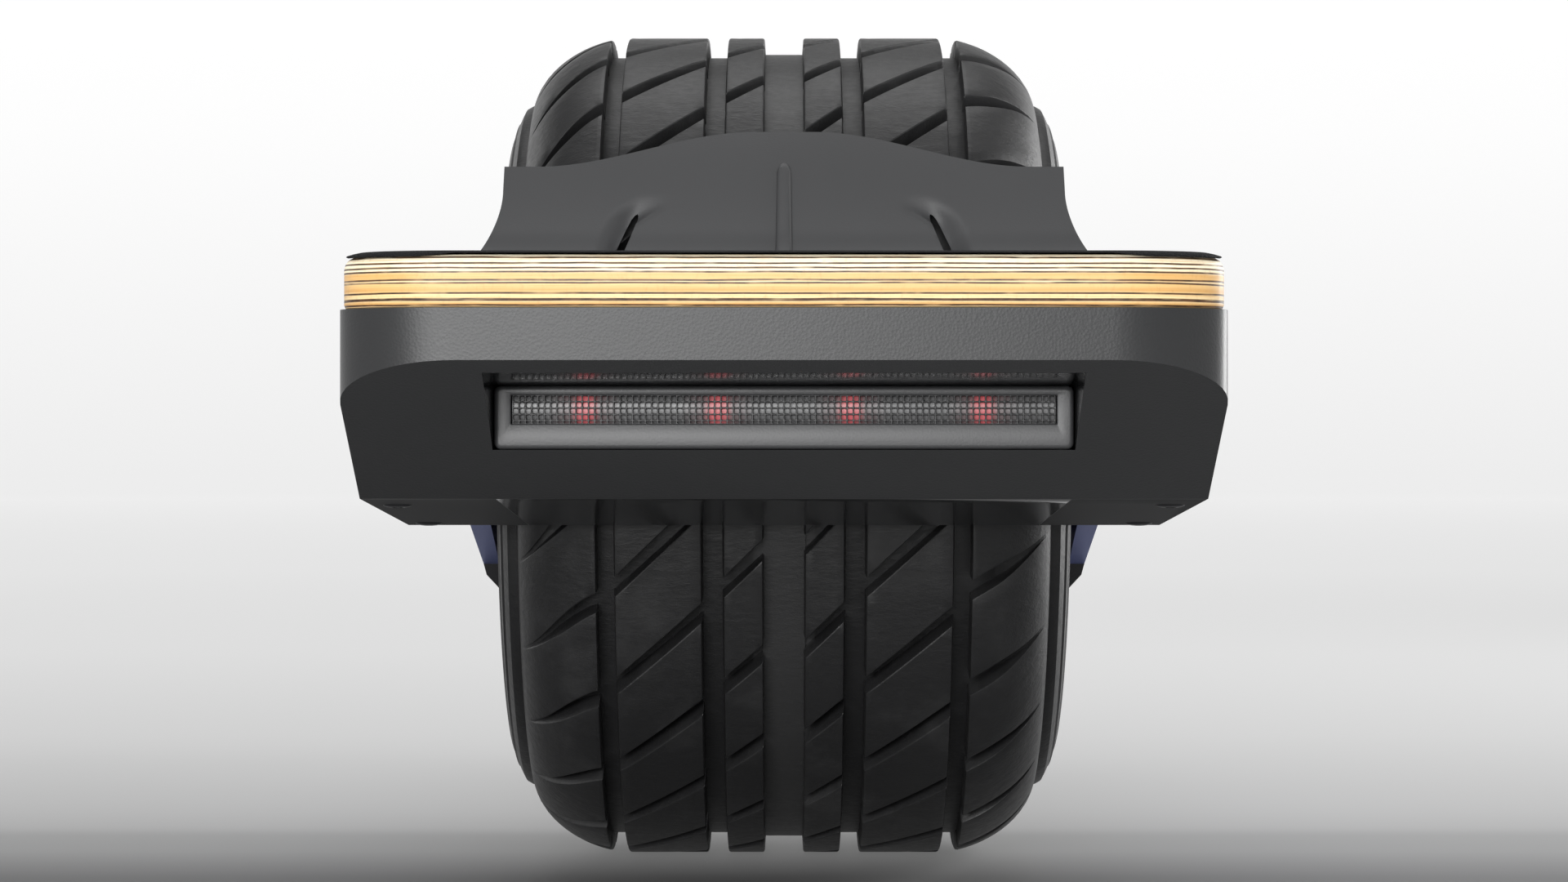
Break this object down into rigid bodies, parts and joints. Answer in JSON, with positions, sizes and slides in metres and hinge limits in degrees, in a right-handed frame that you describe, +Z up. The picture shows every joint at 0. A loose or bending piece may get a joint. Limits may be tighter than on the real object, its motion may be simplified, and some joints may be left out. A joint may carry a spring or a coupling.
{
  "type": "self balancing board",
  "caption": "Single-wheel self balancing board: plywood foot boards at each end of aluminium side rails, a wide hub-motor tyre between them, moulded bumpers with light panels.",
  "frame": {"origin": "on the ground straight under the wheel axle, in the middle of the board", "axes": "+Y from nose to tail along the board, +X to the right seen from the nose end, along the axle, +Z up"},
  "size_m": [0.234, 0.762, 0.292],
  "materials": {
    "tyre_rubber": "moulded tread, matt",
    "brass_part": "turned",
    "cast_black": "satin black powder coat",
    "plain_steel": "ground",
    "plated_steel": "nickel plated",
    "black_steel": "black oxide",
    "seal_rubber": "soft rubber",
    "bare_aluminium": "machined",
    "black_aluminium": "black anodised",
    "lamination_steel": "stacked sheet",
    "copper_winding": "enamelled copper wire",
    "cable_jacket": "cable sheath",
    "blue_anodised": "satin blue anodised",
    "guard_plastic": "fine texture",
    "birch_plywood": "clear lacquered plywood",
    "grip_sheet": "coarse grit grip",
    "sensor_film": "printed film",
    "bumper_plastic": "moulded fine grain",
    "panel_plastic": "satin grey",
    "mesh_metal": "black perforated sheet",
    "circuit_board": "solder mask",
    "fender_plastic": "moulded satin grey",
    "box_plastic": "moulded housing",
    "capacitor_sleeve": "shrink sleeve",
    "cell_sleeve": "shrink sleeve",
    "button_metal": "brushed"
  },
  "bodies": {
    "frame": {"axle": "plain_steel", "stator_hub": "bare_aluminium", "stator_core": "lamination_steel", "stator_coils": "copper_winding", "bearing_inner_races": "plain_steel", "bearing_balls": "plated_steel", "axle_block_left": "black_aluminium", "axle_block_right": "black_aluminium", "axle_block_bolts": "black_steel", "pinch_bolts": "black_steel", "motor_cable": "cable_jacket", "power_cable": "cable_jacket", "rail_left": "blue_anodised", "rail_right": "blue_anodised", "rail_guard_left": "guard_plastic", "rail_guard_right": "guard_plastic", "guard_screws": "black_steel", "front_deck": "birch_plywood", "rear_deck": "birch_plywood", "front_grip": "grip_sheet", "rear_grip": "grip_sheet", "deck_screws": "black_steel", "foot_sensor": "sensor_film", "front_bumper": "bumper_plastic", "rear_bumper": "bumper_plastic", "bumper_screws": "black_steel", "front_light_panel": "panel_plastic", "rear_light_panel": "panel_plastic", "front_light_mesh": "mesh_metal", "rear_light_mesh": "mesh_metal", "front_led_board": "circuit_board", "rear_led_board": "circuit_board", "fender": "fender_plastic", "fender_screws": "black_steel", "controller_tray": "box_plastic", "controller_lid": "box_plastic", "controller_board": "circuit_board", "capacitors": "capacitor_sleeve", "battery_tray": "box_plastic", "battery_lid": "box_plastic", "battery_cells": "cell_sleeve", "bms_board": "circuit_board", "lid_screws": "black_steel", "port_plate": "guard_plastic", "power_switch": "guard_plastic", "charge_socket": "plated_steel"},
    "wheel": {"tyre": "tyre_rubber", "valve_stem": "brass_part", "rim": "cast_black", "rotor_ring": "plain_steel", "magnets": "plated_steel", "motor_cover_left": "cast_black", "motor_cover_right": "cast_black", "cover_screws": "black_steel", "bearing_outer_races": "plain_steel", "axle_seals": "seal_rubber"},
    "button": {"power_button": "button_metal"},
    "socket_flap": {"charge_cap": "seal_rubber"}
  },
  "joints": [
    {"name": "wheel_spin", "type": "hinge", "parent": "frame", "child": "wheel", "pos_m": [0, 0, 0.146], "axis": [1, 0, 0], "continuous": true},
    {"name": "power_button_press", "type": "slide", "parent": "frame", "child": "button", "axis": [-1, 0, 0], "range_m": [0, 0.0012], "stiffness_N_per_m": 800, "springref_m": -0.0005},
    {"name": "socket_flap_hinge", "type": "hinge", "parent": "frame", "child": "socket_flap", "pos_m": [0.1152, -0.229, 0.1455], "axis": [0, 1, 0], "range_deg": [0, 110]}
  ]
}
